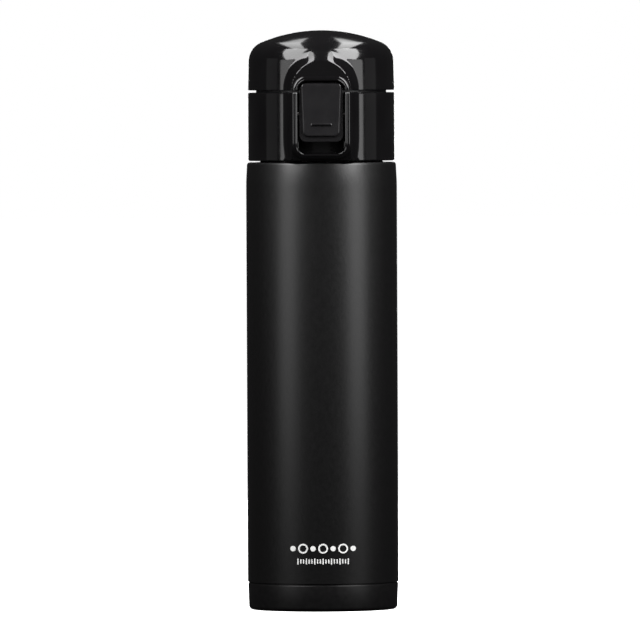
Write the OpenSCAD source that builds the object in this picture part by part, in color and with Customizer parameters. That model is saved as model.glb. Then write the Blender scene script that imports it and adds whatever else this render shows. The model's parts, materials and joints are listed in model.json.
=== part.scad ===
// Slim one-touch vacuum flask of the 0.5 litre class: a double-wall steel bottle, and a screw-on
// cap unit with a spring-loaded flip lid that a rocking push button releases.
// Millimetres. +Z is up, the button faces -Y and the lid's hinge is at +Y.
// The origin is on the bottle's axis, in the plane that the foot ring stands on.

/* [Bottle] */
// Outside diameter of the steel body
body_d = 65; // [64:0.5:67]
// Height of the body's shoulder, where the cap unit begins
shoulder_z = 192.7; // [150:0.1:230]
// Thickness of the painted outer shell
shell_wall = 0.45; // [0.4:0.05:0.6]
// Thickness of the inner vessel
vessel_wall = 0.4; // [0.35:0.05:0.5]
// Vacuum gap between the shell and the vessel
vacuum_gap = 2.8; // [2.2:0.1:3.4]
// Height of the separate base cup
base_h = 11.4; // [9:0.1:12]
// Width of the groove above the base cup
base_groove = 0.5; // [0.3:0.1:0.8]

/* [Neck] */
// Height of the neck above the shoulder
neck_h = 16.7; // [16:0.1:17.5]
// Axial travel of the thread in one turn
thread_pitch = 4.5; // [4.2:0.1:5]
// Number of turns in each thread rib
thread_turns = 1.1; // [0.9:0.1:1.3]

/* [Cap unit] */
// How much narrower the cap is than the body, on the radius
cap_inset = 0.95; // [0.7:0.05:1.2]
// Seam between the shoulder and the collar
seam_gap = 0.6; // [0.4:0.1:0.8]
// Height of the collar
collar_h = 29.45; // [29:0.05:30]
// Gap between the collar and the closed lid
parting_gap = 0.9; // [0.7:0.1:1.1]
// Thickness of the collar and lid walls
cap_wall = 1.85; // [1.8:0.05:1.9]

/* [Lid] */
// Height of the lid from its lower edge to the top of the dome
lid_h = 25.85; // [25:0.05:28]
// Radius of the dome
dome_r = 67; // [55:1:80]
// Radius of the rounded edge of the dome
dome_edge_r = 8.7; // [7:0.1:9.5]
// Angle through which the lid opens
lid_swing = 160; // [90:5:165]

/* [Button] */
// Width of the pocket that the button sits in
pocket_w = 20.2; // [20:0.1:20.6]
// Width of the raised rim around the pocket
rim_w = 2.4; // [2:0.1:2.6]
// Height of the rim above the housing
rim_h = 1.0; // [0.7:0.1:1.1]
// Angle that the button rocks through when pressed
button_rock = 7; // [5:0.5:8]

/* [Hidden] */
$fn = 96;

// Bottle radii and levels
body_r = body_d / 2;
shell_in_r = body_r - shell_wall;
vessel_r = shell_in_r - vacuum_gap;
neck_in_z = shoulder_z - 8.7;
shoulder_r = 1.2;
shoulder_edge_r = body_r - 0.45;
cap_r = body_r - cap_inset;
neck_r = cap_r - 5.35;
neck_z = shoulder_z + neck_h;
vessel_neck_r = neck_r - shell_wall - 0.05;
lip_z = neck_z + vessel_wall;
jacket_z = base_h + 3.2;
vessel_z0 = jacket_z + 5.7;
base_r = body_r - 0.15;
base_draft = 0.4;
foot_r = base_r - base_draft - 1.8;

// Thread ribs: both follow one helix, half a pitch apart
rib_steps = 48;
rib_taper = 0.12;
thread_z = shoulder_z + 5;
male_crest_r = neck_r + 1.1;
female_root_r = neck_r + 1.55;
female_crest_r = neck_r + 0.45;

// Cap unit levels
collar_z0 = shoulder_z + seam_gap;
collar_z1 = collar_z0 + collar_h;
lid_z0 = collar_z1 + parting_gap;
lid_z1 = lid_z0 + lid_h;
collar_in_r = cap_r - cap_wall;
core_r = collar_in_r - 0.15;
deck_z = collar_z1 - 1.75;
upstand_r = core_r - 1.5;
lid_waist_r = cap_r - 0.3;
lid_in_r = cap_r - cap_wall;

// Mouthpiece levels: the funnel's lip stands above the collar, inside the lid
spout_z0 = lip_z - 6.7;
spout_flange_z = deck_z - 3.1;
spout_shelf_z = collar_z1 - 0.15;
spout_lip_z = collar_z1 + 7.45;
spout_hole_r = 11.5;
skirt_r = vessel_neck_r - vessel_wall - 0.55;

// Front housing, pocket and button
pad_y = -(cap_r + 3.95);
pad_foot_y = -(body_r + 0.4);
pad_half_w = 15.8;
pad_face_half_w = 12.9;
pad_curl_z = collar_z0 + 10.7;
rim_half_w = pocket_w / 2 + rim_w;
rim_corner_r = 6;
arch_z = lid_z0 + 6.2;
pocket_floor_r = cap_r - 1.15;
pocket_z0 = collar_z0 + 3.1;
pivot_y = pad_y + 2.1;
pivot_z = collar_z0 + 20.2;
button_back_y = pad_y + 2;
button_plate_y = pad_y + 0.3;
button_face_y = pad_y - 0.8;
button_z0 = collar_z0 + 8.2;
button_z1 = lid_z0 + 3.2;
button_half_w = pocket_w / 2 - 0.6;
button_spring_z = pivot_z - 7;
button_spring_r = 1.9;
latch_z = lid_z0 + 1.45;
latch_half_w = 4.5;
latch_reach_y = pad_y + 4.1;
latch_gap = 0.2;
pin_r = 0.75;

// Rear hinge
hinge_y = cap_r + 2.05;
hinge_z = collar_z1 - 1.55;
ear_r = -pad_y + rim_h - hinge_y;
ear_x0 = 8.6;
ear_x1 = 12;
lug_x0 = 4.7;
lug_x1 = 8.3;
lug_r = ear_r - 0.2;
hinge_pin_r = 1;

// Stopper
liner_z = spout_lip_z + 1;
stopper_z0 = spout_shelf_z + 0.15;
stopper_r = 13.2;

shell_paint = [0.13, 0.125, 0.13];
steel = [0.72, 0.72, 0.73];
gloss_black = [0.05, 0.048, 0.05];
core_black = [0.09, 0.09, 0.095];
silicone = [0.62, 0.62, 0.6];

// Points along a circular arc, from angle a0 to a1
function arc(cx, cy, r, a0, a1, n = 8) =
    [for (i = [0:n]) let (a = a0 + (a1 - a0) * i / n) [cx + r * cos(a), cy + r * sin(a)]];

function unit(v) = v / norm(v);

// Rings of points that follow a path, each square to it; ref is a direction the path never takes
function tube_rings(path, r, ref, sides) = [
    for (i = [0:len(path) - 1])
        let (
            a = path[max(i - 1, 0)],
            b = path[min(i + 1, len(path) - 1)],
            t = unit(b - a),
            u = unit(cross(t, ref)),
            v = cross(t, u)
        )
        for (k = [0:sides - 1]) path[i] + r * (cos(360 * k / sides) * u + sin(360 * k / sides) * v)
];

// Side and end faces of rings that each hold the same number of points
function ring_faces(rings, sides) = concat(
    [for (i = [0:rings - 2], k = [0:sides - 1])
        let (m = (k + 1) % sides)
        [i * sides + k, (i + 1) * sides + k, (i + 1) * sides + m, i * sides + m]],
    [[for (k = [0:sides - 1]) k]],
    [[for (k = [sides - 1:-1:0]) (rings - 1) * sides + k]]
);

module wire(path, r, ref, sides = 6) {
    polyhedron(tube_rings(path, r, ref, sides), ring_faces(len(path), sides));
}

// A trapezoid rib along a helix, tapering out at both ends; root_r is the side that joins the wall
module thread_rib(root_r, crest_r, root_w, crest_w, z0) {
    steps = ceil(thread_turns * rib_steps);
    points = [
        for (i = [0:steps])
            let (
                s = i / steps,
                grow = max(0.04, min(1, s / rib_taper, (1 - s) / rib_taper)),
                tip_r = root_r + (crest_r - root_r) * grow,
                a = 360 * thread_turns * s,
                z = z0 + thread_pitch * thread_turns * s,
                half_root = root_w / 2,
                half_tip = (root_w + (crest_w - root_w) * grow) / 2,
                inner = min(root_r, tip_r),
                outer = max(root_r, tip_r),
                half_in = root_r < crest_r ? half_root : half_tip,
                half_out = root_r < crest_r ? half_tip : half_root
            )
            for (p = [[inner, -half_in], [inner, half_in], [outer, half_out], [outer, -half_out]])
                [p[0] * cos(a), p[0] * sin(a), z + p[1]]
    ];
    polyhedron(points, ring_faces(steps + 1, 4));
}

// Half outline of the bottle's outside, inset by t
function shell_outline(t) = concat(
    [[0, base_h + base_groove], [body_r - t, base_h + base_groove], [body_r - t, neck_in_z]],
    arc(shoulder_edge_r - shoulder_r, shoulder_z - shoulder_r, shoulder_r - t, 0, 90, 5),
    [[neck_r - t + 0.8, shoulder_z - t]],
    [[neck_r - t, shoulder_z - t + 0.8], [neck_r - t, neck_z], [0, neck_z]]
);

// Half outline of the inner vessel, inset by t
function vessel_outline(t) = concat(
    [[0, vessel_z0 + t]],
    arc(vessel_r - 8, vessel_z0 + 8, 8 - t, -90, 0, 7),
    arc(vessel_r - 6, shoulder_z - 19, 6 - t, 0, 42, 4),
    [[vessel_neck_r - t, shoulder_z - 7], [vessel_neck_r - t, lip_z], [0, lip_z]]
);

// The outer shell carries the bottle's thread, a rib rolled into its neck
module outer_shell() {
    color(shell_paint) {
        difference() {
            rotate_extrude() polygon(shell_outline(0));
            rotate_extrude() polygon(shell_outline(shell_wall));
            translate([0, 0, base_h]) cylinder(r = shell_in_r, h = 1);
            translate([0, 0, neck_z - 1]) cylinder(r = neck_r - shell_wall, h = 2);
        }
        thread_rib(neck_r - shell_wall / 2, male_crest_r, 2.9, 1.2, thread_z);
    }
}

module inner_vessel() {
    color(steel) {
        difference() {
            union() {
                rotate_extrude() polygon(vessel_outline(0));
                translate([0, 0, neck_z]) cylinder(r = neck_r, h = vessel_wall);
            }
            rotate_extrude() polygon(vessel_outline(vessel_wall));
            translate([0, 0, neck_z - 1]) cylinder(r = vessel_neck_r - vessel_wall, h = 2);
        }
    }
}

module tube(r_out, r_in, z0, z1) {
    translate([0, 0, z0])
        difference() {
            cylinder(r = r_out, h = z1 - z0);
            translate([0, 0, -1]) cylinder(r = r_in, h = z1 - z0 + 2);
        }
}

module foil_wrap() {
    color("peru") tube(vessel_r + 0.15, vessel_r + 0.04, vessel_z0 + 10, shoulder_z - 20);
}

module getter() {
    color("gray")
        translate([12, 0, jacket_z + 0.65]) {
            difference() {
                cylinder(r = 5, h = 1.6);
                translate([0, 0, 0.4]) cylinder(r = 4.6, h = 2);
            }
            translate([0, 0, 0.4]) cylinder(r = 4.5, h = 0.9);
        }
}

module jacket_bottom() {
    rim_r = shell_in_r - 0.02;
    color(steel)
        difference() {
            translate([0, 0, jacket_z]) cylinder(r = rim_r, h = 4);
            translate([0, 0, jacket_z + 0.6]) cylinder(r = rim_r - 0.6, h = 4);
            translate([0, 0, jacket_z - 1]) cylinder(r = 1.5, h = 3);
        }
}

module vacuum_plug() {
    color("silver") {
        translate([0, 0, jacket_z - 0.7]) cylinder(r = 3, h = 0.68);
        translate([0, 0, jacket_z - 0.1]) cylinder(r = 1.45, h = 0.6);
    }
}

module base_cup() {
    outline = concat(
        [[0, 1.1], [foot_r - 4, 1.1], [foot_r - 3.2, 0]],
        arc(foot_r, 1.8, 1.8, -90, 0, 5),
        arc(base_r - 0.6, base_h - 0.6, 0.6, 0, 90, 3),
        [[shell_in_r - 0.08, base_h], [shell_in_r - 0.08, base_h + 2.8]],
        [[shell_in_r - 1.4, base_h + 2.8], [shell_in_r - 1.4, 3.4], [foot_r - 2.4, 2.3], [0, 2.3]]
    );
    color(shell_paint) rotate_extrude() polygon(outline);
}

module neck_gasket() {
    z = spout_z0 + 1.2;
    groove_r = skirt_r - 1.3;
    lip_r = vessel_neck_r - vessel_wall - 0.12;
    color(silicone)
        rotate_extrude()
            polygon([
                [groove_r, z], [skirt_r - 0.2, z], [lip_r, z + 0.5], [skirt_r, z + 1.1],
                [skirt_r, z + 1.9], [lip_r, z + 2.5], [skirt_r - 0.2, z + 3], [groove_r, z + 3]
            ]);
}

// The housing's face in side view, standing proud by extra; it curls back towards the body below
function housing_side(extra, z0, z1) = concat(
    [[-cap_r + 6, z0]],
    [for (i = [0:8])
        let (z = z0 + (pad_curl_z - z0) * i / 8, k = (pad_curl_z - z) / (pad_curl_z - collar_z0))
        [pad_y - extra + (pad_foot_y - pad_y) * k * k, z]],
    [[pad_y - extra, z1], [-cap_r + 6, z1]]
);

// Extrudes an outline drawn in side view, as [y, z], across x0 to x1
module across(x0, x1) {
    translate([x0, 0, 0]) rotate([90, 0, 90]) linear_extrude(x1 - x0) children();
}

// Extrudes an outline drawn in front view, as [x, z], from y0 back to y1
module inward(y0, y1) {
    translate([0, y1, 0]) rotate([90, 0, 0]) linear_extrude(y1 - y0) children();
}

// Plan of the front housing, drawn as [x, y]
module housing_plan() {
    side = [[-pad_half_w, -cap_r + 5], [-pad_face_half_w, pad_y + 1]];
    polygon(concat(
        side,
        [[-pad_face_half_w + 1.5, pad_y - 0.1], [pad_face_half_w - 1.5, pad_y - 0.1]],
        [for (i = [1:-1:0]) [-side[i][0], side[i][1]]]
    ));
}

// Front view of a slot of half width w with round corners, from z0 up to z1
module slot_outline(w, z0, z1, r) {
    polygon(concat(
        arc(w - r, z0 + r, r, -90, 0, 6),
        arc(w - r, z1 - r, r, 0, 90, 6),
        arc(-w + r, z1 - r, r, 90, 180, 6),
        arc(-w + r, z0 + r, r, 180, 270, 6)
    ));
}

module rim_outline() {
    difference() {
        slot_outline(rim_half_w, pocket_z0 - rim_w, arch_z, rim_corner_r);
        slot_outline(pocket_w / 2, pocket_z0, arch_z - rim_w, rim_corner_r - rim_w);
    }
}

module rim(z0, z1) {
    intersection() {
        inward(pad_y - rim_h - 1, -cap_r + 4) rim_outline();
        across(-rim_half_w - 1, rim_half_w + 1) polygon(housing_side(rim_h, z0, z1));
    }
}

// What is cut away for the button, down to a curved floor
module pocket() {
    difference() {
        inward(pad_y - rim_h - 2, -pocket_floor_r + 8)
            slot_outline(pocket_w / 2, pocket_z0, arch_z - rim_w, rim_corner_r - rim_w);
        translate([0, 0, pocket_z0 - 5]) cylinder(r = pocket_floor_r, h = 50);
    }
}

module collar_ring() {
    r = 0.5;
    rotate_extrude()
        polygon(concat(
            [[collar_in_r, collar_z0], [cap_r - r, collar_z0]],
            [[cap_r, collar_z0 + r]],
            arc(cap_r - r, collar_z1 - r, r, 0, 90, 3),
            [[upstand_r + 0.2, collar_z1], [upstand_r + 0.2, collar_z1 - 1.5]],
            [[collar_in_r, collar_z1 - 1.5]]
        ));
}

// One ear or lug profile around the hinge, in side view
module ear_profile() {
    translate([hinge_y, hinge_z]) circle(r = ear_r);
    polygon([
        [cap_r - 4.5, hinge_z + 0.7], [hinge_y, hinge_z + 0.7], [hinge_y + ear_r, hinge_z],
        [hinge_y + ear_r - 0.7, hinge_z - 3.8], [cap_r - 0.3, collar_z0 + 15], [cap_r - 4.5, collar_z0 + 15]
    ]);
}

module hinge_bore(r, x0, x1) {
    translate([x0, hinge_y, hinge_z]) rotate([0, 90, 0]) cylinder(r = r, h = x1 - x0);
}

module collar_shell() {
    pin_hole_x = pocket_w / 2 + 1.6;
    color(gloss_black)
        difference() {
            union() {
                collar_ring();
                intersection() {
                    translate([0, 0, collar_z0]) linear_extrude(collar_h) housing_plan();
                    across(-pad_half_w, pad_half_w) polygon(housing_side(0, collar_z0, collar_z1));
                }
                rim(collar_z0, collar_z1);
                for (side = [-1, 1])
                    across(side > 0 ? ear_x0 : -ear_x1, side > 0 ? ear_x1 : -ear_x0) ear_profile();
            }
            translate([0, 0, collar_z0 - 1]) cylinder(r = collar_in_r, h = collar_h - 0.5);
            translate([0, 0, collar_z0]) cylinder(r = upstand_r + 0.2, h = collar_h + 5);
            pocket();
            hinge_bore(hinge_pin_r + 0.01, -20, 20);
            hinge_bore(lug_r + 0.5, -ear_x0, ear_x0);
            translate([-pin_hole_x, pivot_y, pivot_z])
                rotate([0, 90, 0]) cylinder(r = pin_r + 0.01, h = 2 * pin_hole_x);
        }
}

module threaded_core() {
    z0 = collar_z0 + 0.6;
    color(core_black) {
        difference() {
            translate([0, 0, z0]) cylinder(r = core_r, h = deck_z - z0);
            translate([0, 0, z0 - 1]) cylinder(r = female_root_r, h = deck_z - 1.5 - z0 + 1);
            translate([0, 0, z0]) cylinder(r = 20, h = 60);
        }
        tube(upstand_r, upstand_r - 1.5, deck_z - 0.1, collar_z1 + 2.45);
        thread_rib(female_root_r + 0.3, female_crest_r, 2.3, 1.1, thread_z - thread_pitch / 2);
    }
}

module mouthpiece() {
    groove_z = spout_z0 + 1.1;
    groove_r = skirt_r - 1.4;
    lip_r = 18.55;
    outline = concat(
        [[skirt_r - 2.6, spout_z0], [skirt_r - 0.4, spout_z0], [skirt_r, spout_z0 + 0.4]],
        [[skirt_r, groove_z], [groove_r, groove_z], [groove_r, groove_z + 3.2], [skirt_r, groove_z + 3.2]],
        [[skirt_r, spout_flange_z], [skirt_r + 2.9, spout_flange_z], [skirt_r + 2.9, spout_flange_z + 1.45]],
        [[19.6, spout_flange_z + 1.45], [18.2, spout_lip_z - 3.7]],
        arc(lip_r - 0.9, spout_lip_z - 0.9, 0.9, -10, 190, 7),
        [[14.9, spout_shelf_z], [spout_hole_r, spout_shelf_z], [spout_hole_r, spout_shelf_z - 1.5]],
        [[18.2, spout_shelf_z - 3.7], [skirt_r - 2.6, spout_shelf_z - 8.5]]
    );
    color(core_black) rotate_extrude() polygon(outline);
}

module hinge_pin() {
    color(steel) hinge_bore(hinge_pin_r, -ear_x1 + 0.3, ear_x1 - 0.3);
}

module lid_spring() {
    wire_r = 0.4;
    coil_r = 1.8;
    turns = 4.25;
    half_w = 2;
    steps = 14;
    coil = [
        for (i = [0:turns * steps])
            let (a = 180 + 360 * i / steps)
            [-half_w + 2 * half_w * i / (turns * steps), hinge_y + coil_r * cos(a), hinge_z - coil_r * sin(a)]
    ];
    collar_leg = [[-half_w, cap_r + wire_r + 0.12, hinge_z - 9], [-half_w, hinge_y - coil_r, hinge_z - 1.2]];
    lid_leg = [
        [half_w, hinge_y - coil_r + 0.6, hinge_z + coil_r],
        [half_w, cap_r + wire_r + 0.12, hinge_z + 8]
    ];
    color(steel) wire(concat(collar_leg, coil, lid_leg), wire_r, [1, 0, 0]);
}

module button_pin() {
    reach = pocket_w / 2 + 1.5;
    color(steel)
        translate([-reach, pivot_y, pivot_z]) rotate([0, 90, 0]) cylinder(r = pin_r, h = 2 * reach);
}

module button_spring() {
    wire_r = 0.22;
    turns = 4;
    steps = 12;
    y0 = -pocket_floor_r - wire_r - 0.05;
    y1 = button_back_y - 0.25;
    coil = [
        for (i = [0:turns * steps])
            let (a = 360 * i / steps, s = i / (turns * steps))
            [button_spring_r * cos(a), y0 + (y1 - y0) * s, button_spring_z + button_spring_r * sin(a)]
    ];
    color(steel) wire(coil, wire_r, [0, 1, 0]);
}

// Front view of the raised key face, which narrows towards its lower end
module key_outline(inset) {
    top = button_half_w - 1 - inset;
    low = top - 0.75;
    z0 = button_z0 + 2.3 + inset;
    z1 = button_z1 - 0.5 - inset;
    r0 = 2.4 - inset;
    r1 = 1.3 - inset / 2;
    polygon(concat(
        arc(low - r0, z0 + r0, r0, -90, 0, 5),
        arc(top - r1, z1 - r1, r1, 0, 90, 4),
        arc(-top + r1, z1 - r1, r1, 90, 180, 4),
        arc(-low + r0, z0 + r0, r0, 180, 270, 5)
    ));
}

module push_button() {
    barrel_r = 1.7;
    hook_z = latch_z + 0.15;
    color(gloss_black)
        difference() {
            union() {
                inward(button_plate_y, button_back_y)
                    slot_outline(button_half_w, button_z0, button_z1, 3);
                inward(button_face_y + 0.5, button_plate_y + 0.1) key_outline(0);
                inward(button_face_y, button_face_y + 0.6) key_outline(0.5);
                inward(button_face_y - 0.15, button_face_y + 0.1)
                    slot_outline(4.2, button_z0 + 6.6, button_z0 + 7.5, 0.42);
                translate([-button_half_w, pivot_y, pivot_z])
                    rotate([0, 90, 0]) cylinder(r = barrel_r, h = 2 * button_half_w);
                across(-latch_half_w + 0.5, latch_half_w - 0.5)
                    polygon([
                        [button_back_y - 0.5, hook_z], [latch_reach_y - latch_gap, hook_z],
                        [latch_reach_y - latch_gap, hook_z + 0.4], [button_back_y + 0.4, hook_z + 1.4],
                        [button_back_y - 0.5, hook_z + 1.4]
                    ]);
            }
            translate([-20, pivot_y, pivot_z]) rotate([0, 90, 0]) cylinder(r = pin_r + 0.05, h = 40);
            translate([0, button_back_y + 5, button_spring_z])
                rotate([90, 0, 0]) cylinder(r = button_spring_r + 0.5, h = 5.6);
        }
}

// Half outline of the lid, inset by t
dome_z = lid_z1 - dome_r;
edge_x = lid_waist_r - dome_edge_r;
waist_z = dome_z + sqrt(pow(dome_r - dome_edge_r, 2) - edge_x * edge_x);
edge_angle = atan2(waist_z - dome_z, edge_x);
function lid_outline(t) = concat(
    [[0, lid_z0], [cap_r - t, lid_z0]],
    arc(edge_x, waist_z, dome_edge_r - t, 0, edge_angle, 8),
    arc(0, dome_z, dome_r - t, edge_angle, 90, 8)
);

// The swelling above the arch: its face leans back a little, then rolls over into the dome
module lid_housing() {
    intersection() {
        translate([0, 0, lid_z0]) linear_extrude(17) housing_plan();
        inward(pad_y - 1, -cap_r + 8) slot_outline(pad_half_w, lid_z0 - 20, lid_z0 + 15.4, 9);
        across(-pad_half_w, pad_half_w)
            polygon([
                [-cap_r + 8, lid_z0], [pad_y, lid_z0], [pad_y, arch_z], [pad_y + 0.8, lid_z0 + 12],
                [pad_y + 1.5, lid_z0 + 13.5], [pad_y + 2.9, lid_z0 + 14.9], [-cap_r + 1, lid_z0 + 15.9],
                [-cap_r + 8, lid_z0 + 15.9]
            ]);
    }
}

module lug_profile() {
    translate([hinge_y, hinge_z]) circle(r = lug_r);
    polygon([
        [cap_r + 0.35, hinge_z], [hinge_y + lug_r, hinge_z], [hinge_y + lug_r - 0.6, lid_z0 + 3.9],
        [cap_r - 0.6, lid_z0 + 10.3], [cap_r - 4, lid_z0 + 10.3], [cap_r - 4, lid_z0], [cap_r + 0.35, lid_z0]
    ]);
}

module lid_shell() {
    color(gloss_black)
        difference() {
            union() {
                rotate_extrude() polygon(lid_outline(0));
                lid_housing();
                intersection() {
                    rim(lid_z0, lid_z0 + 12);
                    translate([0, 0, lid_z0 + 50]) cube(100, center = true);
                }
                for (side = [-1, 1])
                    across(side > 0 ? lug_x0 : -lug_x1, side > 0 ? lug_x1 : -lug_x0) lug_profile();
            }
            rotate_extrude() polygon(lid_outline(cap_wall));
            translate([0, 0, lid_z0 - 1]) cylinder(r = lid_in_r, h = 2);
            pocket();
            translate([-latch_half_w - 0.1, latch_reach_y - 1, lid_z0 - 1])
                cube([2 * latch_half_w + 0.2, 6, 1 + latch_z - lid_z0 + 0.1]);
            hinge_bore(hinge_pin_r + 0.05, -20, 20);
        }
}

module lid_liner() {
    skirt = lid_waist_r - cap_wall - 0.05;
    color(core_black)
        difference() {
            union() {
                translate([0, 0, lid_z0 + 0.75]) cylinder(r = skirt, h = liner_z + 1.6 - lid_z0 - 0.75);
                translate([-latch_half_w, latch_reach_y, lid_z0 + 0.25])
                    cube([2 * latch_half_w, 6, latch_z - lid_z0 - 0.25]);
            }
            translate([0, 0, lid_z0 - 1]) cylinder(r = upstand_r + 0.3, h = liner_z - lid_z0 + 1);
            translate([0, 0, liner_z - 1]) cylinder(r = 6.1, h = 5);
        }
}

module stopper_core() {
    z = stopper_z0 + 1.12;
    color(core_black) {
        translate([0, 0, z]) cylinder(r = 12, h = 1.3);
        translate([0, 0, z]) cylinder(r = 10.5, h = liner_z - 0.02 - z);
        translate([0, 0, z]) cylinder(r = 6, h = liner_z + 1.62 - z);
        translate([0, 0, liner_z + 1.62]) cylinder(r1 = 6.8, r2 = 6, h = 1.2);
    }
}

module stopper_seal() {
    z = stopper_z0;
    color(silicone)
        rotate_extrude()
            polygon([
                [0, z], [stopper_r - 0.6, z], [stopper_r, z + 0.6], [stopper_r + 0.4, z + 1.4],
                [stopper_r, z + 2.2], [stopper_r + 0.8, z + 4.2], [stopper_r + 0.2, z + 5],
                [stopper_r + 1, liner_z - 0.6], [stopper_r + 1, liner_z - 0.02],
                [10.55, liner_z - 0.02], [10.55, z + 2.45], [12.05, z + 2.45], [12.05, z + 1.1], [0, z + 1.1]
            ]);
}

outer_shell();
inner_vessel();
foil_wrap();
getter();
jacket_bottom();
vacuum_plug();
base_cup();
neck_gasket();
collar_shell();
threaded_core();
mouthpiece();
hinge_pin();
lid_spring();
button_pin();
button_spring();
push_button();
lid_shell();
lid_liner();
stopper_core();
stopper_seal();
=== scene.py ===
import json
import math
import bmesh
import bpy
from mathutils import Matrix, Vector


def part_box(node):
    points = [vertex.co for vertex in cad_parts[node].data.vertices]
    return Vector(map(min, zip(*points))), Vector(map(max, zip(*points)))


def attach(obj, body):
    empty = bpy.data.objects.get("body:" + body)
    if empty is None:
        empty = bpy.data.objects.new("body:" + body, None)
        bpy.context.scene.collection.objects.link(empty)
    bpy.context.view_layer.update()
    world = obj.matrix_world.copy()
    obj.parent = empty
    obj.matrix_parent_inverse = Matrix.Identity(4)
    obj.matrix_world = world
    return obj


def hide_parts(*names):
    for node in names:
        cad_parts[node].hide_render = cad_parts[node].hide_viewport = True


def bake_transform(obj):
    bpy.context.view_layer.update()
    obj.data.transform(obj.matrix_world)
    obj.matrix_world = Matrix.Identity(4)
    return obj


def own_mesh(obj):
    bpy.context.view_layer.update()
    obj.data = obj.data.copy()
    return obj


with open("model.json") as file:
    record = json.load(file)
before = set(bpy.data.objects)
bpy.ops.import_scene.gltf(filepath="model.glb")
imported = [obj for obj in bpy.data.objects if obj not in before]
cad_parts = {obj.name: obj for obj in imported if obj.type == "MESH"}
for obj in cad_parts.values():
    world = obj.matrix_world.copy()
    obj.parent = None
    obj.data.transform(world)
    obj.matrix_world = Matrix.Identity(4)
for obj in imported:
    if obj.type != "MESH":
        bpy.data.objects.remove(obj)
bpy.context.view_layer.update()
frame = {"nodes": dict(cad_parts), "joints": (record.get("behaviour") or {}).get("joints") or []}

MM = 0.001
UP, DOWN = 1, -1
RING_SEGMENTS = 96

# Half the floor's side, in metres
FLOOR_HALF = 15

# A lathe outline that closes on the axis stops this short of it, in millimetres
AXIS = 0.01


# ---------- Sizes, in millimetres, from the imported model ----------

def box_mm(node):
    low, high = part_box(node)
    return low / MM, high / MM


def joint_mm(name):
    joint = next(j for j in frame["joints"] if j["name"] == name)
    return Vector(joint["pos_m"]) / MM


HINGE = joint_mm("lid_flip")
PIVOT = joint_mm("button_press")
SHELL_LOW, SHELL_HIGH = box_mm("outer_shell")
COLLAR_LOW, COLLAR_HIGH = box_mm("collar_shell")
LID_TOP = box_mm("lid_shell")[1].z
BUTTON_LOW, BUTTON_HIGH = box_mm("push_button")
LIP_TOP = box_mm("inner_vessel")[1].z
BASE_HIGH = box_mm("base_cup")[1]
BODY_R = SHELL_HIGH.x
CAP_R = COLLAR_HIGH.x

SHOULDER_Z = COLLAR_LOW.z - 0.6
COLLAR_Z = (COLLAR_LOW.z, HINGE.z + 1.55)
LID_Z = (COLLAR_Z[1] + 0.9, LID_TOP)
NECK_R = CAP_R - 5.35
NECK_Z = LIP_TOP - 0.4
BASE_TOP = SHELL_LOW.z - 0.5
CAP_WALL = 1.85
SHELL_WALL = 0.45
THREAD_Z = SHOULDER_Z + 5
THREAD_PITCH = 4.5

# The dome: a large sphere with a rounded edge, on slightly drafted sides
DOME_R = 67.0
DOME_EDGE_R = 8.7
DRAFT = 0.3
EDGE_X = CAP_R - DRAFT - DOME_EDGE_R
DOME_Z = LID_TOP - DOME_R
WAIST_Z = DOME_Z + math.sqrt((DOME_R - DOME_EDGE_R) ** 2 - EDGE_X ** 2)
EDGE_ANGLE = math.atan2(WAIST_Z - DOME_Z, EDGE_X)

# The front housing: how far its face stands out at the top and at the foot, the height where
# it starts to curl in to the foot, and the height of the centre that its upper outline runs
# round. The face is flat for a way from that centre, then rolls over and drops to the cap;
# these three differ between its sides and its top.
PAD_Y = CAP_R + 3.95
PAD_FOOT_Y = BODY_R + 0.4
PAD_CURL_Z = COLLAR_Z[0] + 10.7
PAD_CORE_Z = LID_Z[0] + 0.3
PAD_SIDE_FLAT, PAD_SIDE_ROLL, PAD_SIDE_DROP = 12.7, 2.9, 9.4
PAD_TOP_FLAT, PAD_TOP_ROLL, PAD_TOP_DROP = 12.2, 3.2, 4.6
PAD_LEAN = 0.05
PAD_BLEND = 3.2

# The button's pocket in the housing, and the raised rim round it
POCKET_HALF = 10.1
POCKET_FLOOR_R = CAP_R - 1.15
RIM_H = 1.0
RIM_EDGE, RIM_OUTER, RIM_TOE = 0.45, 1.35, 0.22
RIM_CROWN = 0.16
RIM_STEP = 0.14
POCKET_FILLET = 0.6
WALL_OFFSET = 0.04

# Half the angle that the finely meshed front patch takes of the cap's round
PATCH_ANGLE = math.radians(42)


# ---------- Mesh tools ----------

def finish_mesh(name, bm, body, material, nodes=(), sharp=38):
    """Turns a bmesh in millimetres into a piece that rides on a body."""
    bmesh.ops.remove_doubles(bm, verts=bm.verts, dist=1e-4)
    bmesh.ops.recalc_face_normals(bm, faces=bm.faces)
    bmesh.ops.scale(bm, vec=(MM, MM, MM), verts=bm.verts)
    mesh = bpy.data.meshes.new(name)
    bm.to_mesh(mesh)
    bm.free()
    for polygon in mesh.polygons:
        polygon.use_smooth = True
    mesh.set_sharp_from_angle(angle=math.radians(sharp))
    piece = bpy.data.objects.new(name, mesh)
    bpy.context.scene.collection.objects.link(piece)
    mesh.materials.append(material)
    if body:
        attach(piece, body)
    if nodes:
        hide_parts(*nodes)
    return piece


def add_grid(bm, rows, closed=False):
    """Joins rows of points, all of one length, with four-sided faces."""
    made = [[bm.verts.new(p) for p in row] for row in rows]
    for low, high in zip(made, made[1:]):
        count = len(low)
        for i in range(count if closed else count - 1):
            j = (i + 1) % count
            corners = []
            for v in (low[i], low[j], high[j], high[i]):
                if all((v.co - u.co).length > 1e-6 for u in corners):
                    corners.append(v)
            if len(corners) > 2:
                bm.faces.new(corners)
    return made


def add_cap(bm, ring):
    bm.faces.new(ring)


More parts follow.
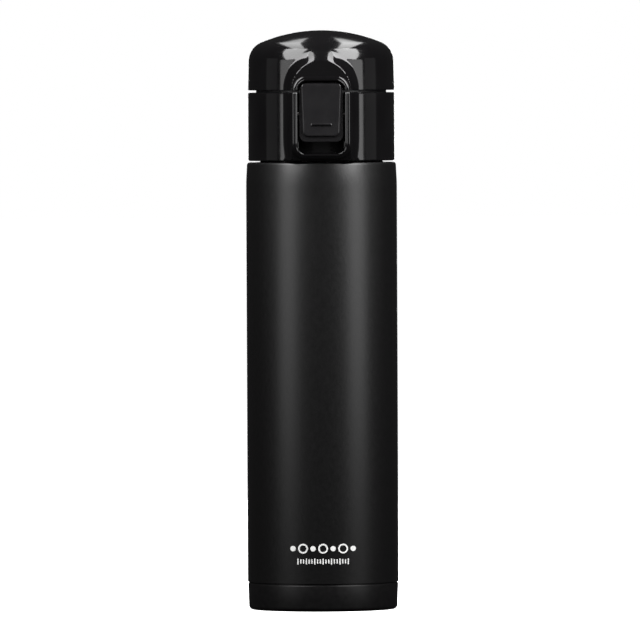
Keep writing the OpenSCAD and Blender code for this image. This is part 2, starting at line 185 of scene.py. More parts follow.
def arc(cx, cy, r, start, stop, steps):
    """Points on a circular arc; the angles are in degrees."""
    angles = [math.radians(start + (stop - start) * i / steps) for i in range(steps + 1)]
    return [(cx + r * math.cos(a), cy + r * math.sin(a)) for a in angles]


def rounded(corners, steps=5):
    """A closed outline whose corners, given as (x, y, radius), are rounded off."""
    points = []
    count = len(corners)
    for i in range(count):
        x, y, radius = corners[i]
        here = Vector((x, y))
        back = Vector(corners[i - 1][:2]) - here
        ahead = Vector(corners[(i + 1) % count][:2]) - here
        bend = back.angle(ahead, 0)
        if radius <= 0 or bend < 0.05 or bend > math.pi - 0.05:
            points.append((x, y))
            continue
        back.normalize()
        ahead.normalize()
        cut = radius / math.tan(bend / 2)
        centre = here + (back + ahead).normalized() * (radius / math.sin(bend / 2))
        first = here + back * cut - centre
        last = here + ahead * cut - centre
        turn = first.angle_signed(last)
        for k in range(steps + 1):
            a = -turn * k / steps
            spoke = Vector((
                first.x * math.cos(a) - first.y * math.sin(a),
                first.x * math.sin(a) + first.y * math.cos(a)))
            points.append(tuple(centre + spoke))
    return points


def level_ring(r, z, segments):
    """Points round the Z axis, which start at the front."""
    turns = (2 * math.pi * i / segments for i in range(segments))
    return [(r * math.sin(a), -r * math.cos(a), z) for a in turns]


def add_lathe(bm, outline, segments=144):
    """Turns a closed half outline of (radius, height) points about the Z axis."""
    add_grid(bm, [level_ring(r, z, segments) for r, z in outline + outline[:1]], closed=True)


def lathe(name, corners, body, material, nodes=(), segments=144, steps=5):
    bm = bmesh.new()
    add_lathe(bm, rounded(corners, steps), segments)
    return finish_mesh(name, bm, body, material, nodes)


def add_tube(bm, path, radius, sides=12):
    """A round tube with domed ends along a list of points."""
    points = [Vector(p) for p in path]
    normal = None
    rows = []
    for i, p in enumerate(points):
        along = (points[min(i + 1, len(points) - 1)] - points[max(i - 1, 0)]).normalized()
        if normal is None:
            normal = along.orthogonal().normalized()
        normal = (normal - along * normal.dot(along)).normalized()
        other = along.cross(normal)
        ring = [
            normal * math.cos(2 * math.pi * k / sides) + other * math.sin(2 * math.pi * k / sides)
            for k in range(sides)]
        if i == 0:
            rows += [[p - along * radius * c + s * radius * q for q in ring]
                     for c, s in ((0.97, 0.25), (0.71, 0.71), (0.25, 0.97))]
        rows.append([p + q * radius for q in ring])
        if i == len(points) - 1:
            rows += [[p + along * radius * c + s * radius * q for q in ring]
                     for c, s in ((0.25, 0.97), (0.71, 0.71), (0.97, 0.25))]
    made = add_grid(bm, rows, closed=True)
    add_cap(bm, made[0])
    add_cap(bm, made[-1])


def add_prism(bm, outline, x0, x1, edge=0.35):
    """Extrudes a (y, z) outline from x0 to x1 and rounds its two end edges."""
    rows = []
    centre = Vector((sum(p[0] for p in outline), sum(p[1] for p in outline))) / len(outline)
    ends = [(x0, 1), (x1, -1)]
    for x, inward in ends:
        for k in (range(5) if inward > 0 else range(4, -1, -1)):
            a = math.radians(90 * k / 4)
            pull = edge * (1 - math.sin(a))
            shift = edge * (1 - math.cos(a))
            row = []
            for i, p in enumerate(outline):
                here = Vector(p)
                after = Vector(outline[(i + 1) % len(outline)]) - here
                before = here - Vector(outline[i - 1])
                side = (after.normalized() + before.normalized()).orthogonal().normalized()
                if side.dot(here - centre) < 0:
                    side = -side
                moved = here - side * pull
                row.append((x + inward * shift, moved.x, moved.y))
            rows.append(row)
    made = add_grid(bm, rows, closed=True)
    add_cap(bm, made[0])
    add_cap(bm, made[-1])


def boundary_loop(bm, z):
    """The vertices of the open edge that lies at height z, in order."""
    edges = [e for e in bm.edges if len(e.link_faces) == 1
             and all(abs(v.co.z - z) < 1e-3 for v in e.verts)]
    around = {}
    for e in edges:
        for v in e.verts:
            around.setdefault(v, []).append(e)
    first = edges[0].verts[0]
    loop, edge = [first], edges[0]
    while True:
        after = edge.other_vert(loop[-1])
        if after is first:
            return loop
        loop.append(after)
        edge = next(e for e in around[after] if e is not edge)


def inward_normals(points):
    """At each point of a closed outline, the direction into it, longer at a sharp corner."""
    count = len(points)
    area = sum(points[i - 1].x * points[i].y - points[i].x * points[i - 1].y for i in range(count))
    sign = 1 if area > 0 else -1
    normals = []
    for i in range(count):
        before = (points[i] - points[i - 1]).normalized()
        after = (points[(i + 1) % count] - points[i]).normalized()
        a = Vector((-before.y, before.x)) * sign
        b = Vector((-after.y, after.x)) * sign
        middle = (a + b).normalized()
        normals.append(middle / max(middle.dot(a), 0.6))
    return normals


def close_end(bm, z, direction, radius, inner_r, segments=RING_SEGMENTS, steps=4):
    """Rounds an open edge at height z and closes it with a flat face down to a round hole."""
    loop = boundary_loop(bm, z)
    normals = inward_normals([v.co.xy for v in loop])
    last = loop
    start = [v.co.copy() for v in loop]
    for k in range(1, steps + 1):
        a = math.radians(90 * k / steps)
        pull = radius * (1 - math.cos(a))
        rise = direction * radius * math.sin(a)
        ring = [
            bm.verts.new((p.x + n.x * pull, p.y + n.y * pull, z + rise))
            for p, n in zip(start, normals)]
        for i in range(len(ring)):
            j = (i + 1) % len(ring)
            bm.faces.new((last[i], last[j], ring[j], ring[i]))
        last = ring
    face_z = z + direction * radius
    hole = [bm.verts.new(p) for p in level_ring(inner_r, face_z, segments)]
    edges = [bm.edges.get((ring[i], ring[i - 1])) for i in range(len(ring))]
    edges += [bm.edges.new((hole[i], hole[i - 1])) for i in range(segments)]
    bmesh.ops.triangle_fill(bm, use_beauty=True, use_dissolve=False, edges=edges,
                            normal=(0, 0, direction))


# ---------- The cap's front, shared by the lid and the collar ----------

def smooth_max(a, b, width):
    """The larger of two numbers, with a rounded change where they are closer than width."""
    near = max(width - abs(a - b), 0.0)
    return max(a, b) + near * near / (4 * width)


def housing(x, z):
    """How far the front housing stands out from the axis at a place on its face."""
    out = PAD_Y
    if z < PAD_CURL_Z:
        curl = (PAD_CURL_Z - z) / (PAD_CURL_Z - COLLAR_Z[0])
        out -= (PAD_Y - PAD_FOOT_Y) * curl * curl
    top = max(0.0, z - PAD_CORE_Z)
    far = math.hypot(x, top)
    share = (top / far) ** 2 if far > 0 else 0.0
    flat = PAD_SIDE_FLAT + (PAD_TOP_FLAT - PAD_SIDE_FLAT) * share
    roll = PAD_SIDE_ROLL + (PAD_TOP_ROLL - PAD_SIDE_ROLL) * share
    drop = PAD_SIDE_DROP + (PAD_TOP_DROP - PAD_SIDE_DROP) * share
    reach = max(0.0, (far - flat) / roll)
    crisp = 0.03 + 0.13 * share ** 4
    out -= PAD_LEAN * share * min(top, flat)
    return out - drop * (reach * reach / (reach + crisp) + 0.7 * max(0.0, reach - 1) ** 2)


def lid_radius(z):
    """The lid's wall, drafted up to its waist and rounded over above it."""
    if z <= WAIST_Z:
        return CAP_R - DRAFT * (z - LID_Z[0]) / (WAIST_Z - LID_Z[0])
    return EDGE_X + math.sqrt(DOME_EDGE_R ** 2 - (z - WAIST_Z) ** 2)


def collar_radius(z):
    """The collar's wall is straight, so its radius is the same at every height."""
    return CAP_R


def front_y(x, z, radius):
    """The cap's front surface: the round wall, with the housing blended onto it."""
    wall = math.sqrt(max(radius * radius - x * x, 0.0))
    return -smooth_max(wall, housing(x, z), PAD_BLEND)


class Front:
    """The patch of a cap shell that holds the rim, laid out in lines that run along the rim."""

    def __init__(self, up, start_z, end_z, bar_z, corner_r, rim_w, radius_at):
        self.up, self.start_z, self.end_z = up, start_z, end_z
        self.bar_z, self.corner_r, self.rim_w, self.radius_at = bar_z, corner_r, rim_w, radius_at
        self.centre_x = POCKET_HALF - corner_r
        self.centre_z = bar_z - up * corner_r
        self.leg = max(0.0, up * (self.centre_z - start_z))
        self.leg_count = round(self.leg / 0.9)
        self.corner_count = 24
        self.bar_count = 9

    def half_line(self, spread):
        """Left half of the line that runs at a distance outside the pocket's edge."""
        r = self.corner_r + spread
        points = []
        for i in range(self.leg_count):
            z = self.start_z + self.up * self.leg * i / self.leg_count
            points.append((-self.centre_x - r, z))
        lag = max(0.0, self.up * (self.start_z - self.centre_z))
        first = math.asin(lag / r)
        for i in range(self.corner_count + 1):
            a = first + (math.pi / 2 - first) * i / self.corner_count
            z = self.centre_z + self.up * r * math.sin(a)
            points.append((-self.centre_x - r * math.cos(a), z))
        for i in range(1, self.bar_count + 1):
            x = -self.centre_x * (1 - i / self.bar_count)
            points.append((x, self.bar_z + self.up * spread))
        return points

    def side_x(self, z):
        return -self.radius_at(z) * math.sin(PATCH_ANGLE)

    def half_border(self):
        """Left half of the patch's square outer border, with the points that match half_line."""
        points = []
        corner = self.corner_count // 2
        for i in range(self.leg_count):
            z = self.start_z + self.up * self.leg * i / self.leg_count
            points.append((self.side_x(z), z))
        low = self.start_z + self.up * self.leg
        for i in range(corner + 1):
            z = low + (self.end_z - low) * (1 - (1 - i / corner) ** 1.25)
            points.append((self.side_x(z), z))
        for i in range(1, self.corner_count - corner + 1):
            t = i / (self.corner_count - corner)
            points.append((self.side_x(self.end_z) * (1 - t) - self.centre_x * t, self.end_z))
        for i in range(1, self.bar_count + 1):
            points.append((-self.centre_x * (1 - i / self.bar_count), self.end_z))
        return points

    @staticmethod
    def mirrored(half):
        return half + [(-x, z) for x, z in reversed(half[:-1])]

    def side_heights(self):
        """The heights of the points down the border's side, where the back joins on."""
        border = self.half_border()
        return [z for x, z in border[:self.leg_count + self.corner_count // 2 + 1]]

    def end_angles(self):
        """Where the border's far end meets the cap's round, as angles about the axis."""
        border = self.mirrored(self.half_border())
        first = self.leg_count + self.corner_count // 2
        ends = border[first:len(border) - first]
        radius = self.radius_at(self.end_z)
        return [math.asin(max(-1, min(1, x / radius))) for x, z in ends]

    def floor_y(self, x):
        return -math.sqrt(POCKET_FLOOR_R ** 2 - x * x)

    def rows(self):
        """All the lines, from the pocket's floor over the rim to the border of the patch."""
        return self.wall_rows() + self.rim_rows() + self.skirt_rows()

    def wall_rows(self):
        """The pocket's wall, with a fillet at its foot."""
        rows = []
        for k in range(5):
            a = math.radians(90 * k / 4)
            line = self.mirrored(self.half_line(-POCKET_FILLET * (1 - math.sin(a))))
            lift = POCKET_FILLET * (1 - math.cos(a))
            rows.append([(x, self.floor_y(x) - lift, z) for x, z in line])
        wall = self.mirrored(self.half_line(WALL_OFFSET))
        for t in (0.3, 0.65, 1.0):
            row = []
            for x, z in wall:
                low = self.floor_y(x) - POCKET_FILLET
                high = -(housing(x, z) + RIM_H - RIM_EDGE)
                row.append((x, low + (high - low) * t, z))
            rows.append(row)
        return rows

    def rim_rows(self):
        """The rim: a small round inside, a low crown, and a wide round outside."""
        profile = [(WALL_OFFSET + RIM_EDGE * (1 - math.cos(a)), RIM_H - RIM_EDGE + RIM_EDGE * math.sin(a))
                   for a in (math.radians(22.5 * k) for k in range(1, 5))]
        first, last = WALL_OFFSET + RIM_EDGE, self.rim_w - RIM_OUTER
        profile += [(first + (last - first) * t, RIM_H + RIM_CROWN * (1 - (2 * t - 1) ** 2))
                    for t in (0.25, 0.5, 0.75)]
        profile += [(last + RIM_OUTER * math.sin(a), RIM_STEP + (RIM_H - RIM_STEP) * math.cos(a))
                    for a in (math.radians(15 * k) for k in range(0, 7))]
        profile += [(self.rim_w + 0.06, 0.04), (self.rim_w + RIM_TOE, 0.0)]
        rows = []
        for spread, lift in profile:
            line = self.mirrored(self.half_line(spread))
            rows.append([(x, -(housing(x, z) + lift), z) for x, z in line])
        return rows

    def skirt_rows(self):
        """The cap's skin from the rim out to the patch's border."""
        near = self.mirrored(self.half_line(self.rim_w + RIM_TOE))
        far = self.mirrored(self.half_border())
        steps = 60 if self.up == UP else 34
        rows = []
        for k in range(1, steps + 1):
            t = k / steps
            on_base = k == steps and self.up == DOWN
            row = []
            for (x0, z0), (x1, z1) in zip(near, far):
                x, z = x0 + (x1 - x0) * t, z0 + (z1 - z0) * t
                radius = self.radius_at(z)
                y = -math.sqrt(radius * radius - x * x) if on_base else front_y(x, z, radius)
                row.append((x, y, z))
            rows.append(row)
        return rows

    def floor_rows(self):
        """The pocket's floor, from its open end to the bar of the rim."""
        half = self.half_line(-0.6)
        bar = [x for x, z in half[-self.bar_count - 1:]]
        shares = [x / bar[0] for x in bar]
        shares += [-s for s in reversed(shares[:-1])]
        rows = []
        for x, z in half[:len(half) - self.bar_count]:
            rows.append([(x * s, self.floor_y(x * s), z) for s in shares])
        return rows


def back_columns(radius, z, notch=None, step=3):
    """Points round the back of the cap, from the patch's right side to its left side."""
    count = round(math.degrees(2 * (math.pi - PATCH_ANGLE)) / step)
    row = []
    for i in range(count + 1):
        a = PATCH_ANGLE + 2 * (math.pi - PATCH_ANGLE) * i / count
        x, y = radius * math.sin(a), -radius * math.cos(a)
        if notch and y > 0 and abs(z - HINGE.z) < notch:
            y = min(y, HINGE.y - math.sqrt(notch ** 2 - (z - HINGE.z) ** 2))
        row.append((x, y, z))
    return row


def add_ears(bm, spans, outline):
    for x0, x1 in spans:
        add_prism(bm, outline, x0, x1)
        add_prism(bm, outline, -x1, -x0)


def add_lid_skin(bm, front):
    """The lid's outside: the front patch, the back, and the dome down to its middle."""
    add_grid(bm, front.rows())
    add_grid(bm, front.floor_rows())
    add_grid(bm, [back_columns(lid_radius(z), z) for z in front.side_heights()])
    angles = front.end_angles()
    first = math.degrees(math.asin((front.end_z - WAIST_Z) / DOME_EDGE_R))
    last = math.degrees(EDGE_ANGLE)
    profile = arc(EDGE_X, WAIST_Z, DOME_EDGE_R, first, last, 12)
    profile += arc(0, DOME_Z, DOME_R, last, 89.9, 26)[1:]
    rows = []
    for r, z in profile:
        ring = [(r * math.sin(a), front_y(r * math.sin(a), z, r), z) for a in angles]
        rows.append(ring + back_columns(r, z)[1:-1])
    made = add_grid(bm, rows, closed=True)
    add_cap(bm, made[-1])
    bmesh.ops.remove_doubles(bm, verts=bm.verts, dist=1e-4)


def add_lid_inside(bm, inner_r):
    last = math.degrees(EDGE_ANGLE)
    profile = [(inner_r, LID_Z[0])]
    profile += arc(EDGE_X, WAIST_Z, DOME_EDGE_R - CAP_WALL, 0, last, 10)
    profile += arc(0, DOME_Z, DOME_R - CAP_WALL, last, 89.9, 12)[1:]
    made = add_grid(bm, [level_ring(r, z, RING_SEGMENTS) for r, z in profile], closed=True)
    add_cap(bm, made[-1])


def lid_shell(material):
    edge, end_z, bar_z = 0.2, LID_Z[0] + 17.25, LID_Z[0] + 3.85
    front = Front(UP, LID_Z[0] + edge, end_z, bar_z, 4.1, 2.2, lid_radius)
    inner_r = CAP_R - CAP_WALL
    bm = bmesh.new()
    add_lid_skin(bm, front)
    close_end(bm, front.start_z, DOWN, edge, inner_r)
    add_lid_inside(bm, inner_r)
    add_ears(bm, [(4.7, 8.3)], lug_outline())
    return finish_mesh("lid_dome", bm, "lid", material, ["lid_shell"])


def lug_outline():
    """Side view of a lid lug, as (y, z): round the pin, and up the back of the lid."""
    r = 2.7
    points = arc(HINGE.y, HINGE.z, r, 200, 370, 16)
    points += arc(HINGE.y + r - 3.2, LID_Z[0] + 3.6, 3.0, 8, 42, 4)
    points += [(CAP_R + 0.1, LID_Z[0] + 9.4), (CAP_R - 0.9, LID_Z[0] + 10.6)]
    points += [(CAP_R - 1.7, LID_Z[0] + 9.6), (CAP_R - 1.7, LID_Z[0] + 0.4)]
    return points + [(CAP_R - 0.2, LID_Z[0] + 0.15)]


def ear_outline():
    """Side view of a collar ear, as (y, z): round the pin, and down the back of the collar."""
    r = 2.9
    points = arc(HINGE.y, HINGE.z, r, -22, 135, 14)
    points += [(CAP_R - 0.9, COLLAR_Z[1] - 0.4), (CAP_R - 2.2, COLLAR_Z[1] - 1.0)]
    points += [(CAP_R - 2.2, COLLAR_Z[0] + 15), (CAP_R - 0.6, COLLAR_Z[0] + 14.6)]
    points += [(CAP_R + 0.6, COLLAR_Z[0] + 16.2), (HINGE.y + 1.6, COLLAR_Z[0] + 22.3)]
    return points


def collar_shell(material):
    edge, foot = 0.42, 0.4
    start, end = COLLAR_Z[1] - edge, COLLAR_Z[0] + foot
    front = Front(DOWN, start, end, COLLAR_Z[0] + 3.1, 3.4, 2.45, collar_radius)
    bm = bmesh.new()
    add_grid(bm, front.rows())
    add_grid(bm, front.floor_rows())
    add_grid(bm, [back_columns(CAP_R, z, notch=3.2) for z in front.side_heights()])
    bmesh.ops.remove_doubles(bm, verts=bm.verts, dist=1e-4)
    rim_r, bore_r = CAP_R - 3.3, CAP_R - CAP_WALL
    close_end(bm, start, UP, edge, rim_r)
    close_end(bm, end, DOWN, foot, bore_r)
    deck = COLLAR_Z[1] - 1.5
    inside = [(rim_r, COLLAR_Z[1]), (rim_r, deck), (bore_r, deck), (bore_r, COLLAR_Z[0])]
    add_grid(bm, [level_ring(r, z, RING_SEGMENTS) for r, z in inside], closed=True)
    add_ears(bm, [(8.6, 12.0)], ear_outline())
    return finish_mesh("collar_ring", bm, "cap", material, ["collar_shell"])


# ---------- The button ----------

def key_outline(top_half, low_half, z0, z1, low_r, top_r, inset=0.0):
    """A closed (x, z) outline with straight sides that may lean, and four round corners."""
    z0, z1 = z0 + inset, z1 - inset
    top_half, low_half = top_half - inset, low_half - inset
    low_r, top_r = max(low_r - inset, 0.2), max(top_r - inset, 0.2)
    corners = [
        arc(low_half - low_r, z0 + low_r, low_r, -90, 0, 7),
        arc(top_half - top_r, z1 - top_r, top_r, 0, 90, 7),
        arc(top_r - top_half, z1 - top_r, top_r, 90, 180, 7),
        arc(low_r - low_half, z0 + low_r, low_r, 180, 270, 7)]
    points = []
    for i, corner in enumerate(corners):
        points += corner
        x0, z0 = corner[-1]
        x1, z1 = corners[(i + 1) % 4][0]
        points += [(x0 + (x1 - x0) * k / 8, z0 + (z1 - z0) * k / 8) for k in range(1, 8)]
    return points


def plate_rows(half, low, high, plate_y, back_y):
    """The button's base plate, from its back to the rounded front edge."""
    def plate(inset):
        return key_outline(half, half, low, high, 3.0, 3.0, inset)

    edge = 0.35
    rows = [[(x, back_y, z) for x, z in plate(0.3)], [(x, back_y - 0.3, z) for x, z in plate(0.0)]]
    for k in range(5):
        a = math.radians(90 * k / 4)
        y = plate_y + edge * (1 - math.sin(a))
        rows.append([(x, y, z) for x, z in plate(edge * (1 - math.cos(a)))])
    return rows


def key_rows(half, low, high, plate_y, face_y, dish):
    """The tapered key that rises from the plate, with a bevelled edge and a dished face."""
    def key(inset):
        return key_outline(half - 0.9, half - 1.7, low, high, 2.2, 1.2, inset)

    middle, bevel = (low + high) / 2, 0.55
    rows = [[(x, plate_y - lift, z) for x, z in key(inset)]
            for lift, inset in ((0, -0.25), (0.06, -0.08), (0.25, 0.0))]
    for k in range(6):
        a = math.radians(90 * k / 5)
        y = face_y + bevel * (1 - math.sin(a))
        rows.append([(x, y, z) for x, z in key(0.08 + bevel * (1 - math.cos(a)))])
    rim = key(0.08 + bevel)
    for k in range(1, 14):
        t = 1 - k / 13.5
        shrunk = [(x * t, middle + (z - middle) * t) for x, z in rim]
        rows.append([(x, face_y + dish(x, z) * min(1.0, k / 3), z) for x, z in shrunk])
    return rows


def add_latch(bm, back_y):
    """The hook behind the button's top, and the barrel round its pin."""
    hook_z, hook_y = LID_Z[0] + 1.65, -PAD_Y + 3.9
    hook = [(back_y - 0.5, hook_z), (hook_y, hook_z), (hook_y, hook_z + 0.4),
            (back_y + 0.4, hook_z + 1.35), (back_y - 0.5, hook_z + 1.35)]
    add_prism(bm, hook, -4.0, 4.0, edge=0.15)
    barrel_r, end = 1.7, POCKET_HALF - 0.1
    barrel = arc(PIVOT.y, PIVOT.z, barrel_r, -80, 80, 12)
    barrel += [(back_y - 0.3, PIVOT.z + barrel_r), (back_y - 0.3, PIVOT.z - barrel_r)]
    add_prism(bm, barrel, -end, end, edge=0.2)


def push_button(material):
    plate_y, back_y, face_y = -PAD_Y + 0.3, -PAD_Y + 2.0, -PAD_Y - 0.85
    half, low, high = BUTTON_HIGH.x, BUTTON_LOW.z, BUTTON_HIGH.z
    key_low, key_high = low + 2.3, high - 0.45
    middle = (key_low + key_high) / 2

    def dish(x, z):
        across = 1 - (x / (half - 1.5)) ** 2
        along = (z - middle + 2.5) / (key_high - middle + 1.5)
        return 0.42 * max(0.0, across) * max(0.0, 1 - along * along)

    rows = plate_rows(half, low, high, plate_y, back_y)
    rows += key_rows(half, key_low, key_high, plate_y, face_y, dish)
    bm = bmesh.new()
    made = add_grid(bm, rows, closed=True)
    add_cap(bm, made[0])
    add_cap(bm, made[-1])
    add_ridge(bm, face_y, dish, low + 7.3)
    add_latch(bm, back_y)
    return finish_mesh("button_key", bm, "button", material, ["push_button"])


def add_ridge(bm, face_y, dish, z):
    """A low thumb ridge across the key."""
    half, r, lift = 4.6, 0.62, 0.42
    rows = []
    for k in range(6):
        a = math.radians(90 * k / 5)
        shrink = r * (1 - math.cos(a)) * 0.96
        outline = key_outline(half, half, z - r, z + r, r, r, shrink)
        rows.append([(x, face_y + dish(x, zz) + 0.05 - (lift + 0.05) * math.sin(a), zz)
                     for x, zz in outline])
    made = add_grid(bm, rows, closed=True)
    add_cap(bm, made[0])
    add_cap(bm, made[-1])


# ---------- The bottle ----------

def bottle_shell(paint, steel):
    r, wall, z = BODY_R, SHELL_WALL, SHOULDER_Z
    side = [(r, SHELL_LOW.z, 0.18), (r, z - 8.7, 80), (r - 0.45, z, 1.2), (NECK_R + 1.3, z, 0)]
    inside = [(NECK_R + 1.3, z - wall, 0), (r - 0.45 - wall, z - wall, 0.8),
              (r - wall, z - 8.7, 80), (r - wall, SHELL_LOW.z, 0.12)]
    lathe("painted_shell", side + inside, "bottle", paint, ["outer_shell"], 192)
    bm = bmesh.new()
    neck = [(NECK_R + 1.3, z, 0), (NECK_R, z, 0.9), (NECK_R, NECK_Z, 0.1), (NECK_R - wall, NECK_Z, 0.1),
            (NECK_R - wall, z - wall, 0.5), (NECK_R + 1.3, z - wall, 0)]
    add_lathe(bm, rounded(neck), 160)
    add_thread(bm, NECK_R - 0.2, NECK_R + 1.1, 2.9, 1.3, THREAD_Z)
    finish_mesh("steel_neck", bm, "bottle", steel, ["outer_shell"])


def add_thread(bm, root_r, crest_r, root_w, crest_w, z, turns=1.1):
    """A rounded thread rib along a helix, which grows out of the wall and back into it."""
    steps = 110
    rows = []
    for i in range(steps + 1):
        s = i / steps
        grow = max(0.03, math.sin(math.pi / 2 * min(1, s / 0.14, (1 - s) / 0.14)))
        a = 2 * math.pi * turns * s
        tip = root_r + (crest_r - root_r) * grow
        outline = []
        for k in range(15):
            h = root_w * (k / 14 - 0.5)
            flank = min(1.0, max(0.0, (root_w / 2 - abs(h)) / ((root_w - crest_w) / 2)))
            outline.append((root_r + (tip - root_r) * flank * flank * (3 - 2 * flank), h))
        outline.append((root_r - 0.15, 0))
        climb = z + THREAD_PITCH * turns * s
        rows.append([(r * math.cos(a), r * math.sin(a), climb + h) for r, h in outline])
    made = add_grid(bm, rows, closed=True)
    add_cap(bm, made[0])
    add_cap(bm, made[-1])


def base_cup(material):
    r, top = BASE_HIGH.x, BASE_TOP
    skirt = BODY_R - 0.53
    corners = [(AXIS, 1.1, 0), (r - 6.2, 1.1, 0.4), (r - 5.4, 0, 0.4), (r - 0.4, 0, 1.8),
               (r, top, 0.5), (skirt, top, 0), (skirt, top + 2.8, 0.2),
               (skirt - 1.3, top + 2.8, 0.2), (skirt - 1.3, 3.4, 1.0), (r - 4.6, 2.3, 0.5),
               (AXIS, 2.3, 0)]
    lathe("base_ring", corners, "bottle", material, ["base_cup"], 192)


# ---------- Inside the cap ----------

def threaded_core(material):
    r, inner = CAP_R - 2.0, NECK_R + 1.55
    z0, deck = COLLAR_Z[0] + 0.6, COLLAR_Z[1] - 1.75
    up, top = r - 1.5, COLLAR_Z[1] + 2.45
    corners = [(r, z0, 0.3), (r, deck, 0.3), (up, deck, 0.4), (up, top, 0.6), (up - 1.5, top, 0.6),
               (up - 1.5, deck, 0.8), (20, deck, 0.4), (20, deck - 1.5, 0.2),
               (inner, deck - 1.5, 0.8), (inner, z0, 0.3)]
    bm = bmesh.new()
    add_lathe(bm, rounded(corners), 160)
    add_thread(bm, inner + 0.3, NECK_R + 0.45, 2.3, 1.2, THREAD_Z - THREAD_PITCH / 2)
    finish_mesh("screw_core", bm, "cap", material, ["threaded_core"])


def mouthpiece(material):
    low, high = box_mm("mouthpiece")
    skirt, z0, lip = high.x - 2.9, low.z, high.z
    flange, shelf = COLLAR_Z[1] - 4.85, COLLAR_Z[1] - 0.15
    groove = z0 + 1.1
    corners = [(skirt - 2.6, z0, 0.3), (skirt, z0, 0.4), (skirt, groove, 0.15),
               (skirt - 1.4, groove, 0.15), (skirt - 1.4, groove + 3.2, 0.15),
               (skirt, groove + 3.2, 0.15), (skirt, flange, 0.4), (skirt + 2.9, flange, 0.3),
               (skirt + 2.9, flange + 1.45, 0.3), (19.5, flange + 1.45, 1.5),
               (18.0, lip - 3.9, 8.0), (18.75, lip, 0.85), (16.85, lip, 0.85), (14.9, shelf, 0.9),
               (11.5, shelf, 0.5), (11.5, shelf - 1.5, 0.4), (18.2, shelf - 3.7, 3.0),
               (skirt - 2.6, shelf - 8.5, 3.0)]
    lathe("drinking_spout", corners, "cap", material, ["mouthpiece"], 160)


def neck_gasket(material):
    low, high = box_mm("neck_gasket")
    inner, lip, z = high.x - 1.83, high.x, low.z
    corners = [(inner, z, 0.1), (lip - 0.6, z, 0.2), (lip, z + 0.5, 0.2), (lip - 0.35, z + 1.5, 0.3),
               (lip, z + 2.5, 0.2), (lip - 0.6, z + 3, 0.2), (inner, z + 3, 0.1)]
    lathe("gasket_ring", corners, "cap_lift", material, ["neck_gasket"])


def lid_liner(material):
    r, inner = CAP_R - DRAFT - CAP_WALL - 0.05, CAP_R - 3.2
    z0, ceiling = LID_Z[0] + 0.75, COLLAR_Z[1] + 8.45
    corners = [(r, z0, 0.3), (r, ceiling + 1.6, 0.4), (6.1, ceiling + 1.6, 0), (6.1, ceiling, 0.2),
               (inner, ceiling, 1.6), (inner, z0, 0.3)]
    bm = bmesh.new()
    add_lathe(bm, rounded(corners), 160)
    near, far = -inner - 0.6, -PAD_Y + 4.1
    low, high = LID_Z[0] + 0.25, LID_Z[0] + 1.45
    ledge = [(far, low), (near, low), (near, high), (far, high)]
    add_prism(bm, ledge, -4.5, 4.5, edge=0.2)
    finish_mesh("liner_cup", bm, "lid", material, ["lid_liner"])


def stopper_core(material):
    low, high = box_mm("stopper_core")
    z, step = low.z, low.z + 1.3
    shelf, barb = high.z - 2.84, high.z - 1.2
    corners = [(AXIS, z, 0), (12, z, 0.3), (12, step, 0.3), (10.5, step, 0.1), (10.5, shelf, 0.4),
               (6, shelf, 0.3), (6, barb, 0), (6.8, barb, 0.2), (6, high.z, 0.3), (AXIS, high.z, 0)]
    lathe("stopper_plug", corners, "lid", material, ["stopper_core"])


def stopper_seal(material):
    low, high = box_mm("stopper_seal")
    z, top = low.z, high.z
    corners = [(AXIS, z, 0), (13.2, z, 0.7), (13.7, z + 1.4, 0.3), (13.1, z + 2.3, 0.4),
               (14.1, z + 4.2, 0.35), (13.4, z + 5.1, 0.4), (14.2, top - 0.5, 0.3), (14.2, top, 0.15),
               (10.55, top, 0), (10.55, z + 2.45, 0), (12.05, z + 2.45, 0), (12.05, z + 1.1, 0),
               (AXIS, z + 1.1, 0)]
    lathe("stopper_rubber", corners, "lid", material, ["stopper_seal"])


def pins(steel):
    """The hinge pin and the button's pin."""
    for name, node, centre, radius in (("hinge_rod", "hinge_pin", HINGE, 1.0),
                                       ("button_rod", "button_pin", PIVOT, 0.75)):
        reach = box_mm(node)[1].x - radius
        path = [(x, centre.y, centre.z) for x in (-reach, -reach / 2, 0, reach / 2, reach)]
        bm = bmesh.new()
        add_tube(bm, path, radius, 28)
        finish_mesh(name, bm, "cap", steel, [node])


def lid_spring(wire):
    """The torsion spring round the hinge pin, with one leg on the collar and one on the lid."""
    coil_r, half, turns, per_turn = 1.8, 2.0, 4.25, 24
    path = [(-half, CAP_R + 0.52, HINGE.z - 9), (-half, HINGE.y - coil_r, HINGE.z - 1.2)]
    for i in range(round(turns * per_turn) + 1):
        a = math.pi + 2 * math.pi * i / per_turn
        path.append((-half + 2 * half * i / (turns * per_turn), HINGE.y + coil_r * math.cos(a),
                     HINGE.z - coil_r * math.sin(a)))
    path += [(half, HINGE.y - coil_r + 0.6, HINGE.z + coil_r), (half, CAP_R + 0.52, HINGE.z + 8)]
    bm = bmesh.new()
    add_tube(bm, path, 0.4)
    coil = finish_mesh("torsion_coil", bm, None, wire, ["lid_spring"])
    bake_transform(coil)


def button_spring(wire):
    """The coil behind the button, which pressing the button shortens on the real flask; here it is a
    fixed helix that rides on the cap.
    """
    low, high = box_mm("button_spring")
    wire_r, steps, per_turn = 0.22, 96, 24
    centre_z, coil_r = (low.z + high.z) / 2, high.x - wire_r
    path = []
    for i in range(steps + 1):
        a = 2 * math.pi * i / per_turn
        y = low.y + wire_r + (high.y - low.y - 2 * wire_r) * i / steps
        path.append((coil_r * math.cos(a), y, centre_z + coil_r * math.sin(a)))
    bm = bmesh.new()
    add_tube(bm, path, wire_r, 10)
    coil = finish_mesh("button_coil", bm, "cap", wire, ["button_spring"])
    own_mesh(coil)


# ---------- The print on the body ----------

def on_body(x, z, lift):
    r = BODY_R + lift
    return (x, -math.sqrt(r * r - x * x), z)


